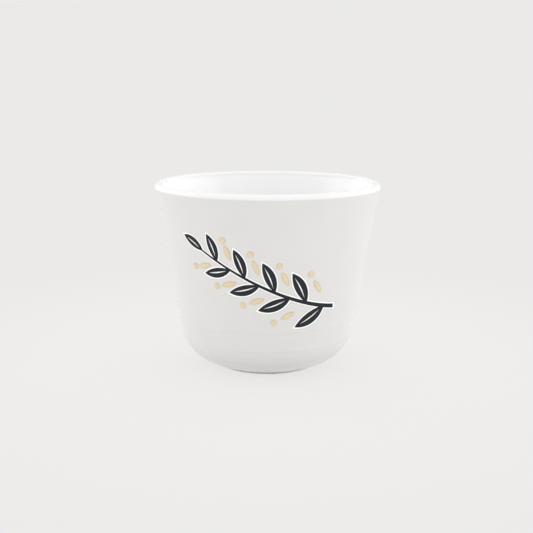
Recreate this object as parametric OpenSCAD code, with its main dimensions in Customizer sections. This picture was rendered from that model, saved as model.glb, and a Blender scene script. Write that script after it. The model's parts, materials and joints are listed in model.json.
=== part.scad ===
// Handleless cup for Arabic coffee, pressed in white opal glass.
// A printed leafy sprig in three thin films lies on the front of its wall.
// The cup's axis is Z, it stands on z = 0 and the sprig faces -Y. Lengths are in millimetres.

/* [Cup outside] */
// Diameter over the widest point of the rim
rim_d = 66; // [60:0.5:74]
// Height from the table to the top of the lip
cup_h = 54; // [48:0.5:62]
// Thickness of the fully rounded lip, and of the wall under it
lip_t = 2.5; // [2:0.1:3.2]
// Angle of the outer wall to the vertical, in degrees
wall_draft = 9.2; // [7:0.1:12]
// Angle of the outer wall to the vertical just under the lip, in degrees
lip_slope = 15.2; // [13:0.1:18]
// Radius of the hollow curve that flares the wall out to the lip
flare_r = 73; // [50:1:100]
// Radius of the curve that carries the wall in under the cup
corner_r = 12.1; // [10.5:0.1:14]

/* [Cup inside] */
// Angle of the inner wall to the vertical, in degrees; the wall thickens downwards
bore_draft = 10.2; // [9.2:0.1:12.5]
// Radius of the inner curve between wall and floor
bore_corner_r = 10.5; // [8:0.1:12]
// Thickness of the floor beside the raised middle of the underside
floor_t = 3.5; // [2.6:0.1:4.5]

/* [Foot] */
// Outer diameter of the foot ring
foot_d = 31.2; // [28:0.2:35]
// Width of the foot ring from its outer side to its inner side
foot_w = 2.4; // [2:0.1:3.2]
// Height of the underside over the table, beside the foot ring
foot_h = 0.7; // [0.6:0.05:1.2]
// Radius of the foot ring's two lower edges
foot_edge_r = 0.4; // [0.25:0.05:0.45]
// Radius of the small hollow where the foot ring meets the cup, outside and inside
foot_fillet_r = 0.3; // [0.2:0.05:0.35]
// How far the middle of the underside is pushed up
push_up_h = 0.7; // [0.3:0.05:1.2]

/* [Print] */
// Thickness of the white film that backs and borders the charcoal
border_t = 0.1; // [0.06:0.01:0.15]
// Thickness of the charcoal film on the white one
ink_t = 0.06; // [0.04:0.01:0.1]
// Thickness of the pale gold film on the glass
gold_t = 0.1; // [0.06:0.01:0.15]
// Width of the white border that shows round the charcoal
border_w = 0.35; // [0.2:0.05:0.5]
// Distance that the white border runs on past a pointed tip
border_tip_l = 0.6; // [0.3:0.05:0.8]

/* [Sprig] */
// Angle at which the stem climbs to the left across the front, in degrees
stem_climb = 26; // [16:1:30]
// Angle at which the stem's plane leans back, which bows it up at both ends, in degrees
stem_bow = 19; // [8:1:26]
// Azimuth of the stem's cut end, to the right of the front, in degrees
stem_from = 41; // [34:1:46]
// Azimuth of the stem's tip, to the left of the front, in degrees
stem_to = 37; // [32:1:44]
// Width of the stem at its cut end
stem_w = 1.2; // [0.8:0.05:1.6]
// Width of the stem at its tip
stem_tip_w = 0.5; // [0.35:0.05:0.8]
// Number of leaves on each side of the stem
leaf_pairs = 4; // [3:1:5]
// Length of the largest leaf
leaf_l = 10.4; // [8:0.1:11]
// Depth of a leaf's fuller side
leaf_full_w = 2.15; // [1.6:0.05:2.3]
// Depth of a leaf's flatter side
leaf_flat_w = 1.35; // [0.9:0.05:1.5]
// Angle between a leaf and the stem, in degrees
leaf_spread = 46; // [38:1:54]
// Width of the open vein along the middle of a leaf
vein_w = 0.36; // [0.2:0.02:0.5]
// Length of a gold bud
bud_l = 4.4; // [3:0.1:5]
// Depth of each side of a gold bud
bud_side_w = 0.72; // [0.5:0.02:0.9]
// Diameter of a gold berry
berry_d = 1.7; // [1.2:0.05:2]

/* [Hidden] */
$fn = 180;

// The unit vector that points out of the wall and down, for a wall at this angle to the vertical
function out_of_wall(angle) = [cos(angle), -sin(angle)];

// Radius of the circle whose arc rises by bulge over a chord of this length
function arc_r(chord, bulge) = (chord * chord / 4 + bulge * bulge) / (2 * bulge);

// Outside, from the lip down: a full round, a hollow flare, a straight wall, a corner curve
lip_r = lip_t / 2;
lip_c = [rim_d / 2 - lip_r, cup_h - lip_r];
lip_out = lip_c + lip_r * out_of_wall(lip_slope);
flare_c = lip_c + (lip_r + flare_r) * out_of_wall(lip_slope);
flare_end = flare_c - flare_r * out_of_wall(wall_draft);
corner_z = foot_h + corner_r;
wall_end_z = corner_z - corner_r * sin(wall_draft);
wall_end = [flare_end[0] - (flare_end[1] - wall_end_z) * tan(wall_draft), wall_end_z];
corner_c = [wall_end[0] - corner_r * cos(wall_draft), corner_z];

// Inside: the flare keeps its centre, so that the upper wall keeps the lip's thickness
lip_in = lip_c - lip_r * out_of_wall(lip_slope);
bore_flare_r = flare_r + lip_t;
bore_flare_end = flare_c - bore_flare_r * out_of_wall(bore_draft);
floor_z = foot_h + floor_t;
bore_corner_z = floor_z + bore_corner_r;
bore_end_z = bore_corner_z - bore_corner_r * sin(bore_draft);
bore_end = [bore_flare_end[0] - (bore_flare_end[1] - bore_end_z) * tan(bore_draft), bore_end_z];
bore_corner_c = [bore_end[0] - bore_corner_r * cos(bore_draft), bore_corner_z];

// Foot: a ring with rounded lower edges, and hollows where it meets the corner and the underside
foot_r = foot_d / 2;
foot_in_r = foot_r - foot_w;
outer_fillet_reach = corner_r + foot_fillet_r;
outer_fillet_r = foot_r + foot_fillet_r;
outer_fillet_drop = sqrt(pow(outer_fillet_reach, 2) - pow(outer_fillet_r - corner_c[0], 2));
outer_fillet_c = [outer_fillet_r, corner_c[1] - outer_fillet_drop];
outer_fillet_end = corner_c + (outer_fillet_c - corner_c) * corner_r / outer_fillet_reach;
dome_r = arc_r(2 * foot_in_r, push_up_h);
dome_c = [0, foot_h + push_up_h - dome_r];
inner_fillet_r = foot_in_r - foot_fillet_r;
inner_fillet_lift = sqrt(pow(dome_r - foot_fillet_r, 2) - pow(inner_fillet_r, 2));
inner_fillet_c = [inner_fillet_r, dome_c[1] + inner_fillet_lift];
inner_fillet_end = dome_c + (inner_fillet_c - dome_c) * dome_r / (dome_r - foot_fillet_r);

// Sprig: its stem lies in a leaning plane through the front of the straight wall
// Height of the stem at the front, as a share of the straight wall
stem_height_share = 0.507;
// Share of the wall's radius at which the radial cutters of the print start
cutter_share = 0.8;
stem_z = wall_end[1] + stem_height_share * (flare_end[1] - wall_end[1]);
stem_front_r = wall_r(stem_z);
cutter_reach = rim_d / 2;
// Slope of the stem's flat outline before its plane is leant back
stem_fall = tan(stem_climb) * cos(stem_bow);
stem_right_x = wall_r(stem_z + stem_rise(stem_from)) * sin(stem_from);
stem_left_x = -wall_r(stem_z + stem_rise(-stem_to)) * sin(stem_to);

leaf_count = 2 * leaf_pairs;
// Size of the last leaf and its angle to the stem, as shares of the first leaf's
leaf_small_share = 0.72;
leaf_spread_share = 0.85;
// Length of a leaf's vein, as a share of the leaf's
vein_share = 0.7;
// Where the first and last leaves of each side leave the stem, as shares of its length
leaf_first_share = 0.09;
leaf_last_share = 0.87;
// Where the leaf at the tip leaves the stem, whose end it covers
tip_leaf_share = 0.975;
// How evenly the leaves stand: 1 is evenly, and below 1 they crowd towards the tip
leaf_crowding = 0.84;
// Distance of a bud's middle and of a berry from the stem, as shares of the leaf's length there
bud_out_share = 0.7;
berry_out_share = 1.13;
// How far a bud stands behind the leaf on the other side, as a share of the stem's length
bud_behind_share = 0.03;

// Radius of the outer wall at height z
function wall_r(z) = flare_end[0] - (flare_end[1] - z) * tan(wall_draft);

// Point on the outer wall's line at height z, moved out of the wall by lift
function on_wall(z, lift) = [wall_r(z), z] + lift * out_of_wall(wall_draft);

// Height of the stem's middle line at an azimuth
function stem_rise(az) =
    stem_front_r * (tan(stem_bow) * (1 - cos(az)) - tan(stem_climb) * sin(az))
    / (1 + tan(wall_draft) * (tan(stem_climb) * sin(az) + tan(stem_bow) * cos(az)));

// Direction in which the stem runs at an azimuth, towards its tip, in degrees from the right
function stem_heading(az) =
    180 + atan(tan(stem_bow) * sin(az) - tan(stem_climb) * cos(az));

// Azimuth of the point at a share of the way from the cut end to the tip
function stem_az(share) = stem_from - share * (stem_from + stem_to);

// Azimuth that lies a distance along the wall from another azimuth, at height z
function az_beside(az, z, distance) = az + distance / wall_r(z) * 180 / PI;

// Size of a leaf at a share of the way along the stem, as a share of the largest
function leaf_size(share) = 1 - (1 - leaf_small_share) * share;

// Angle between a leaf and the stem at a share of the way along the stem
function leaf_angle(share) = leaf_spread * (1 - (1 - leaf_spread_share) * share);

// Share of the stem's length at which leaf number i leaves it
function leaf_share(i) =
    leaf_first_share + (leaf_last_share - leaf_first_share) * pow(i / (leaf_count - 1), leaf_crowding);

// Side of the stem on which leaf number i grows, 1 below and -1 above
function leaf_side(i) = i % 2 == 0 ? 1 : -1;

module cup_glass() {
    color("#F7F8F9") rotate_extrude() cup_section();
}

// Half of the cup's section, on the +X side of the axis
module cup_section() {
    difference() {
        union() {
            difference() {
                outer_half();
                bore_half();
            }
            translate(lip_c) circle(r = lip_r);
            foot_half();
        }
        underside_half();
    }
}

// What the outer surface encloses, up to the lip's middle
module outer_half() {
    intersection() {
        square([rim_d, cup_h]);
        union() {
            difference() {
                polygon([
                    [0, foot_h],
                    [corner_c[0], foot_h],
                    wall_end,
                    flare_end,
                    lip_out,
                    lip_c,
                    [0, lip_c[1]]
                ]);
                translate(flare_c) circle(r = flare_r, $fn = 4 * $fn);
            }
            translate(corner_c) circle(r = corner_r);
        }
    }
}

// The hollow that holds the coffee, open at the top
module bore_half() {
    difference() {
        polygon([
            [0, floor_z],
            [bore_corner_c[0], floor_z],
            bore_end,
            bore_flare_end,
            lip_in,
            lip_c,
            [lip_c[0], cup_h],
            [0, cup_h]
        ]);
        translate(flare_c) circle(r = bore_flare_r, $fn = 4 * $fn);
    }
    intersection() {
        square([bore_end[0], bore_corner_z]);
        translate(bore_corner_c) circle(r = bore_corner_r);
    }
}

// The foot ring with its outer and inner hollows
module foot_half() {
    for (r = [foot_in_r + foot_edge_r, foot_r - foot_edge_r]) {
        translate([r, foot_edge_r]) circle(r = foot_edge_r);
    }
    translate([foot_in_r + foot_edge_r, 0]) square([foot_w - 2 * foot_edge_r, foot_edge_r]);
    translate([foot_in_r, foot_edge_r]) square([foot_w, foot_h + push_up_h]);
    translate([inner_fillet_r, inner_fillet_c[1]]) square([foot_fillet_r, foot_h + push_up_h]);
    difference() {
        polygon([
            [foot_in_r, outer_fillet_c[1]],
            outer_fillet_c,
            outer_fillet_end,
            [foot_in_r, outer_fillet_end[1]]
        ]);
        translate(outer_fillet_c) circle(r = foot_fillet_r);
    }
}

// The space under the cup, inside the foot ring, with its pushed-up middle
module underside_half() {
    intersection() {
        square([inner_fillet_end[0], cup_h]);
        translate(dome_c) circle(r = dome_r, $fn = 4 * $fn);
    }
    translate(inner_fillet_c) circle(r = foot_fillet_r);
    square([foot_in_r, inner_fillet_c[1]]);
}

// A thin coat of the straight wall, from one height over the glass to another
module wall_coat(from, to) {
    rotate_extrude() polygon([
        on_wall(wall_end[1], from),
        on_wall(wall_end[1], to),
        on_wall(flare_end[1], to),
        on_wall(flare_end[1], from)
    ]);
}

// A radial cutter through the front of the wall, with a flat outline as its child
module stamp(az, z, turn) {
    start = cutter_share * wall_r(z);
    rotate([0, 0, az]) translate([0, -start, z]) rotate([90, 0, 0]) {
        linear_extrude(height = cutter_reach - start) rotate(turn) children();
    }
}

// A pointed blade along X between two arcs, over its chord by upper and under it by lower
module blade(chord, upper, lower) {
    upper_r = arc_r(chord, upper);
    lower_r = arc_r(chord, abs(lower));
    if (lower > 0) {
        intersection() {
            translate([0, upper - upper_r]) circle(r = upper_r);
            translate([0, lower_r - lower]) circle(r = lower_r);
        }
    } else {
        difference() {
            translate([0, upper - upper_r]) circle(r = upper_r);
            translate([0, -lower - lower_r]) circle(r = lower_r);
        }
    }
}

// The stem's cutter, wider and longer by grow on each side
module stem_cutter(grow) {
    right = stem_right_x + grow;
    left = stem_left_x - grow;
    half_right = stem_w / 2 + grow;
    half_left = stem_tip_w / 2 + grow;
    translate([0, -stem_front_r, stem_z]) rotate([stem_bow, 0, 0]) rotate([90, 0, 0]) {
        translate([0, 0, -stem_front_r]) linear_extrude(height = rim_d) polygon([
            [left, -left * stem_fall - half_left],
            [right, -right * stem_fall - half_right],
            [right, -right * stem_fall + half_right],
            [left, -left * stem_fall + half_left]
        ]);
    }
}

// Places a flat outline on the wall, its middle a distance along turn from a point of the stem
module beside_stem(share, turn, distance) {
    az = stem_az(share);
    z = stem_z + stem_rise(az);
    middle_z = z + distance * sin(turn);
    stamp(az_beside(az, middle_z, distance * cos(turn)), middle_z, turn) children();
}

// Places a flat leaf-sized outline where a leaf grows, for side 1 (below), -1 (above) or 0 (tip)
module leaf_place(share, side) {
    turn = stem_heading(stem_az(share)) + side * leaf_angle(share);
    beside_stem(share, turn, leaf_size(share) * leaf_l / 2) {
        if (side > 0) mirror([0, 1, 0]) children();
        else children();
    }
}

// One leaf, with its fuller side towards the stem's tip; grow widens it and tip lengthens it
module leaf(share, side, grow, tip) {
    size = leaf_size(share);
    leaf_place(share, side) {
        blade(size * leaf_l + 2 * tip, size * leaf_flat_w + grow, size * leaf_full_w + grow);
    }
}

// The open vein of one leaf, bowed half as much as the leaf's two sides differ
module vein(share, side) {
    size = leaf_size(share);
    bow = size * vein_share * (leaf_full_w - leaf_flat_w) / 2;
    leaf_place(share, side) rotate(180) {
        blade(size * leaf_l * vein_share, bow + vein_w / 2, vein_w / 2 - bow);
    }
}

// What cuts the stem and its leaves out of a coat
module sprig_cutters(grow, tip) {
    stem_cutter(grow);
    for (i = [0 : leaf_count - 1]) leaf(leaf_share(i), leaf_side(i), grow, tip);
    leaf(tip_leaf_share, 0, grow, tip);
}

module sprig_border() {
    color("#FDFDFD") intersection() {
        wall_coat(0, border_t);
        sprig_cutters(border_w, border_tip_l);
    }
}

module sprig_leaves() {
    color("#2C2E33") difference() {
        intersection() {
            wall_coat(border_t, border_t + ink_t);
            sprig_cutters(0, 0);
        }
        for (i = [0 : leaf_count - 1]) vein(leaf_share(i), leaf_side(i));
        vein(tip_leaf_share, 0);
    }
}

module sprig_buds() {
    color("#DCC9A4") intersection() {
        wall_coat(0, gold_t);
        for (i = [0 : leaf_count - 1]) {
            share = leaf_share(i) - bud_behind_share;
            turn = stem_heading(stem_az(share)) - leaf_side(i) * leaf_angle(share);
            leaf_here = leaf_l * leaf_size(share);
            beside_stem(share, turn, leaf_here * bud_out_share) blade(bud_l, bud_side_w, bud_side_w);
            beside_stem(share, turn, leaf_here * berry_out_share) circle(d = berry_d);
        }
    }
}

cup_glass();
sprig_border();
sprig_leaves();
sprig_buds();
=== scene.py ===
"""The looks of a handleless cup for Arabic coffee.

The cup is one piece of pressed white opal glass with a fully rounded lip and a low foot ring.
A leafy sprig is printed on its front in three thin films: white, charcoal and pale gold.
The cup's axis is +Z, it stands on z = 0 and the sprig faces -Y. The sizes of the cup and its
print are in millimetres, those of the studio are in metres, and so is every mesh.
"""

import ast
import json
import logging
import math
from dataclasses import dataclass, fields
from enum import Enum

import bpy
from mathutils import Matrix, Vector
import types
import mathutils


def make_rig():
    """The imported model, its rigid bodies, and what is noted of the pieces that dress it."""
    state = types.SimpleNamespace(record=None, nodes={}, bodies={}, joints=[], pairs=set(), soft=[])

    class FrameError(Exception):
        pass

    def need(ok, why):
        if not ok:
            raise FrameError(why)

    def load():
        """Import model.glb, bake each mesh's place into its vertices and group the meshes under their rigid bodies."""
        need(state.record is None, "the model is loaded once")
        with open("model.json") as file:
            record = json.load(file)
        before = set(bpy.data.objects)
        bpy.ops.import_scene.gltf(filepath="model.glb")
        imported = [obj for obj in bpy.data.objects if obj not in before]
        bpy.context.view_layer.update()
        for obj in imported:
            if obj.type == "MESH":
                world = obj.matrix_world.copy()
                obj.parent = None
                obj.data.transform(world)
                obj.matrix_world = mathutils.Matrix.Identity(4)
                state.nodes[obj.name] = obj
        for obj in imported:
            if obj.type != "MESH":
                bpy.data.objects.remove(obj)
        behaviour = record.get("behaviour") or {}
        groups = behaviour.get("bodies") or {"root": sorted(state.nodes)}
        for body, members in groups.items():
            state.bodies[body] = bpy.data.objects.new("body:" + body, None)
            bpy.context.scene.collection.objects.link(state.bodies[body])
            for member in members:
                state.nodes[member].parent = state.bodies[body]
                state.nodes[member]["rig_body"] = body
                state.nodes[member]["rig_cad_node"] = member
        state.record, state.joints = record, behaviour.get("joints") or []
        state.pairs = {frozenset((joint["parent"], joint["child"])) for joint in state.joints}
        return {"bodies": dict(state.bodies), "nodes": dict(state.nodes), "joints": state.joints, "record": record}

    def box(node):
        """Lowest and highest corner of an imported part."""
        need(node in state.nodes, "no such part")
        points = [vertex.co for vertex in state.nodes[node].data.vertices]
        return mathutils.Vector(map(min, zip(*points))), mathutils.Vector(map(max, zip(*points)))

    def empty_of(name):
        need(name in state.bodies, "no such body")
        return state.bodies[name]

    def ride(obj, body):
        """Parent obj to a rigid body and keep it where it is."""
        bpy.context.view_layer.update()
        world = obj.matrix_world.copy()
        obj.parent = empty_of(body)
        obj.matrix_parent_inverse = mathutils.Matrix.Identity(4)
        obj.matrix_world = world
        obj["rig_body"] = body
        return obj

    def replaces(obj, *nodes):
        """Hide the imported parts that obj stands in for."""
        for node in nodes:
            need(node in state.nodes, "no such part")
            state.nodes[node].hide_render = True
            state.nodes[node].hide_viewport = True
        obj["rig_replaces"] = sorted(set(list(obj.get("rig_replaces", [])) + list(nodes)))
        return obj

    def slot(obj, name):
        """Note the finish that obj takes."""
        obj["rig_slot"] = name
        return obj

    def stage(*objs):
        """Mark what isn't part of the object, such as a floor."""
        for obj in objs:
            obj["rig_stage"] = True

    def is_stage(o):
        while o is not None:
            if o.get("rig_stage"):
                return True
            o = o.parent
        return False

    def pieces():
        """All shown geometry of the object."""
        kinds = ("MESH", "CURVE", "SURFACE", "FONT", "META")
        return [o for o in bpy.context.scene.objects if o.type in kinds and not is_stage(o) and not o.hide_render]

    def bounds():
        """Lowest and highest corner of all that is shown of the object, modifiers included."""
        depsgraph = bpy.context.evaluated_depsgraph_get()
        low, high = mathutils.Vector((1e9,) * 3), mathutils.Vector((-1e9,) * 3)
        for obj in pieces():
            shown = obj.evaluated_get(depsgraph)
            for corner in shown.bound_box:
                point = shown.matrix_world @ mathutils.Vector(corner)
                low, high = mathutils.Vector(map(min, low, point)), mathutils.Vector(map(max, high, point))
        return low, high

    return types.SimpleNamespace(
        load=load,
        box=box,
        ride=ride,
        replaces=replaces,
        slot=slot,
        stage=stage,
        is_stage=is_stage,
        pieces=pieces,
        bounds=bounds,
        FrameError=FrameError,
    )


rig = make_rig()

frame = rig.load()
CAD_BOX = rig.bounds()

MM = 0.001
BODY = "root"
SIZE_FILE = "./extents.json"
# Vertices closer than this are one, in metres
WELD = 2e-6
# The fewest steps in an arc of the section
ARC_STEPS = 4
# The photograph's width and height in pixels
PHOTO_SIDE = 533

log = logging.getLogger("cup")

Point = tuple[float, float]
Tree = bpy.types.NodeTree
Node = bpy.types.Node
Socket = bpy.types.NodeSocket
Values = dict[str, Socket | float]


class Film(Enum):
    """The three printed films, by the CAD node that each stands for."""

    BORDER = "sprig_border"
    CHARCOAL = "sprig_leaves"
    GOLD = "sprig_buds"


class Side(Enum):
    """Where a leaf grows: under the stem, over it, or at its tip."""

    BELOW = 1
    ABOVE = -1
    TIP = 0


def linear(hex_colour: str) -> tuple[float, float, float, float]:
    """Turns an sRGB hex colour into a linear one.

    Args:
        hex_colour: Six hex digits after a hash sign.

    Returns:
        Linear red, green and blue, and an alpha of 1.
    """
    parts = [int(hex_colour[i:i + 2], 16) / 255 for i in (1, 3, 5)]
    low = [part / 12.92 for part in parts]
    high = [((part + 0.055) / 1.055) ** 2.4 for part in parts]
    red, green, blue = [a if p <= 0.04045 else b for p, a, b in zip(parts, low, high)]
    return (red, green, blue, 1.0)


def add_node(tree: Tree, kind: str, inputs: dict | None = None, **settings) -> Node:
    """Adds a node to a tree with its settings, its input values and its links.

    Args:
        tree: The tree that gets the node.
        kind: Blender's name of the node's type.
        inputs: Socket name or number to a value, or to the socket that feeds it.
        **settings: The node's own properties.

    Returns:
        The new node.
    """
    node = tree.nodes.new(kind)
    for name, value in settings.items():
        setattr(node, name, value)
    for name, value in (inputs or {}).items():
        if isinstance(value, bpy.types.NodeSocket):
            tree.links.new(value, node.inputs[name])
        else:
            node.inputs[name].default_value = value
    return node


OPERATIONS = {ast.Add: "ADD", ast.Sub: "SUBTRACT", ast.Mult: "MULTIPLY", ast.Div: "DIVIDE"}
CALLS = {
    "sqrt": "SQRT", "sin": "SINE", "cos": "COSINE", "abs": "ABSOLUTE", "sign": "SIGN",
    "max": "MAXIMUM", "min": "MINIMUM", "round": "ROUND", "fract": "FRACT",
}


def add_formula(tree: Tree, formula: str, values: Values) -> Socket | float:
    """Writes a formula into a tree as Math nodes.

    Args:
        tree: A geometry or shader tree.
        formula: Sums, products and the functions of CALLS, over the names in values.
        values: Each name's socket or number.

    Returns:
        The socket that holds the result.
    """
    def place(part: ast.expr) -> Socket | float:
        """Writes one part of the formula.

        Args:
            part: The part, as Python reads it.

        Returns:
            Its socket or number.
        """
        match part:
            case ast.Constant(value=number):
                return float(number)
            case ast.Name(id=name):
                return values[name]
            case ast.UnaryOp(op=ast.USub(), operand=operand):
                operation, terms = "MULTIPLY", [ast.Constant(-1.0), operand]
            case ast.BinOp(left=left, op=sign, right=right):
                operation, terms = OPERATIONS[type(sign)], [left, right]
            case ast.Call(func=ast.Name(id=name), args=arguments):
                operation, terms = CALLS[name], arguments
            case _:
                raise ValueError(f"the formula {formula!r} holds something unknown")
        inputs = {number: place(term) for number, term in enumerate(terms)}
        return add_node(tree, "ShaderNodeMath", inputs, operation=operation).outputs[0]

    return place(ast.parse(formula).body[0].value)


def add_formulas(tree: Tree, formulas: dict[str, str], values: Values) -> None:
    """Works out named values in order, each from the ones before it.

    Args:
        tree: A geometry or shader tree.
        formulas: Each new name's formula.
        values: The names that are known, to which the new ones are added.
    """
    for name, formula in formulas.items():
        values[name] = add_formula(tree, formula, values)


def new_geometry_tree(
    name: str, counts: list[str], numbers: list[str], finish: str
) -> tuple[Tree, Node, Values]:
    """Starts a Geometry Nodes tree that takes and gives one geometry.

    Args:
        name: The tree's name.
        counts: The labels of its whole-number inputs.
        numbers: The labels of its other number inputs.
        finish: The label of its material input.

    Returns:
        The tree, its Group Input node, and the values of its number inputs for formulas, where
        each label is in small letters with underscores.
    """
    tree = bpy.data.node_groups.new(name, "GeometryNodeTree")
    kinds = {
        "Geometry": "NodeSocketGeometry", **dict.fromkeys(counts, "NodeSocketInt"),
        **dict.fromkeys(numbers, "NodeSocketFloat"), finish: "NodeSocketMaterial",
    }
    for label, kind in kinds.items():
        tree.interface.new_socket(label, in_out="INPUT", socket_type=kind)
    tree.interface.new_socket("Geometry", in_out="OUTPUT", socket_type="NodeSocketGeometry")
    given = tree.nodes.new("NodeGroupInput")
    values = {label.lower().replace(" ", "_"): given.outputs[label] for label in (*counts, *numbers)}
    return tree, given, values


def new_object(name: str, data: bpy.types.ID) -> bpy.types.Object:
    """Adds an object to the scene.

    Args:
        name: The object's name.
        data: Its mesh, lamp or camera.

    Returns:
        The object, at the origin.
    """
    made = bpy.data.objects.new(name, data)
    bpy.context.scene.collection.objects.link(made)
    return made


def grown(name: str, base: bpy.types.Mesh, tree: Tree, values: dict[str, object]) -> bpy.types.Object:
    """Runs a Geometry Nodes tree on a mesh and keeps the result as a plain mesh.

    Args:
        name: The finished piece's name.
        base: The mesh that the tree starts from.
        tree: The tree.
        values: The tree's input names and the values they take.

    Returns:
        The piece, at the origin, with no modifier.
    """
    maker = new_object(f"{name}_maker", base)
    modifier = maker.modifiers.new(tree.name, "NODES")
    modifier.node_group = tree
    sockets = {item.name: item.identifier for item in tree.interface.items_tree if item.in_out == "INPUT"}
    for label, value in values.items():
        modifier[sockets[label]] = value
    maker.update_tag()
    graph = bpy.context.evaluated_depsgraph_get()
    mesh = bpy.data.meshes.new_from_object(maker.evaluated_get(graph), depsgraph=graph)
    mesh.name = name
    finish = mesh.materials[-1]
    mesh.materials.clear()
    mesh.materials.append(finish)
    bpy.data.objects.remove(maker)
    return new_object(name, mesh)


@dataclass(frozen=True)
class OpalGlass:
    """White opal glass, pressed in a mould and fire-polished.

    It gives the eye a milky white that light enters and spreads in, under a hard gloss whose
    reflections waver a little where the mould's skin was melted smooth. The bowl, the lip and the
    foot are painted lighter than the outside: painted light, for the light that enters the wall and
    comes out there. That painted light is written into the tones, because more spreading light makes the wall's limbs
    grainy.
    """

    outside: str = "#D9D8D6"
    outside_cloud: str = "#D5D4D3"
    # Painted light: the bowl and the lip's round are painted lighter than the outside
    bowl: str = "#F2F2F2"
    bowl_cloud: str = "#F0F0F0"
    # Painted light: the lip's top and the foot, within the heights below, are painted this lighter tone
    ends: str = "#E8E8E8"
    lip_heights_mm: tuple[float, float] = (52.4, 53.2)
    foot_heights_mm: tuple[float, float] = (1.0, 5.0)
    ior: float = 1.5
    gloss: tuple[float, float] = (0.05, 0.09)
    light_path_mm: float = 1.5
    light_share: float = 0.06
    cloud_mm: float = 9.0
    peel_mm: float = 2.4
    peel_depth_mm: float = 0.0008

    def material(self) -> bpy.types.Material:
        """Builds the glass.

        Returns:
            The material.
        """
        made, tree, shader = new_material("opal_glass_pressed")
        spot = add_node(tree, "ShaderNodeTexCoord").outputs["Object"]
        cloud = add_node(tree, "ShaderNodeTexNoise", {
            "Vector": spot, "Scale": 1 / (self.cloud_mm * MM), "Detail": 3.0,
        })
        tones = [
            add_node(tree, "ShaderNodeMix", {
                "Factor": cloud.outputs["Fac"], 6: linear(clear), 7: linear(clouded),
            }, data_type="RGBA").outputs[2]
            for clear, clouded in ((self.outside, self.outside_cloud), (self.bowl, self.bowl_cloud))
        ]
        # Painted light: the bowl's lighter tone, mixed in by each point's share of it
        in_bowl = add_node(tree, "ShaderNodeAttribute", attribute_name="in_bowl").outputs["Fac"]
        tone = add_node(tree, "ShaderNodeMix", {
            "Factor": in_bowl, 6: tones[0], 7: tones[1],
        }, data_type="RGBA")
        # Painted light: the lip's top and the foot are whitened towards the ends tone
        height = add_node(tree, "ShaderNodeSeparateXYZ", {0: spot}).outputs[2]
        at_lip, above_foot = (
            add_node(tree, "ShaderNodeMapRange", {
                "Value": height, "From Min": low * MM, "From Max": high * MM,
            }, interpolation_type="SMOOTHSTEP").outputs["Result"]
            for low, high in (self.lip_heights_mm, self.foot_heights_mm)
        )
        end_light_share = add_formula(tree, "lip + 1 - above", {"lip": at_lip, "above": above_foot})
        painted_light_tone = add_node(tree, "ShaderNodeMix", {
            "Factor": end_light_share, 6: tone.outputs[2], 7: linear(self.ends),
        }, data_type="RGBA")
        tree.links.new(painted_light_tone.outputs[2], shader.inputs["Base Color"])
        gloss = add_node(tree, "ShaderNodeMapRange", {
            "Value": cloud.outputs["Fac"], "To Min": self.gloss[0], "To Max": self.gloss[1],
        })
        tree.links.new(gloss.outputs["Result"], shader.inputs["Roughness"])
        peel = add_node(tree, "ShaderNodeTexNoise", {
            "Vector": spot, "Scale": 1 / (self.peel_mm * MM), "Detail": 0.0,
        })
        bump = add_node(tree, "ShaderNodeBump", {
            "Height": peel.outputs["Fac"], "Distance": self.peel_depth_mm * MM, "Strength": 1.0,
        })
        tree.links.new(bump.outputs["Normal"], shader.inputs["Normal"])
        shader.inputs["IOR"].default_value = self.ior
        shader.inputs["Subsurface Weight"].default_value = self.light_share
        shader.inputs["Subsurface Scale"].default_value = self.light_path_mm * MM
        shader.inputs["Subsurface Radius"].default_value = (1.0, 1.0, 1.0)
        return made


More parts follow.
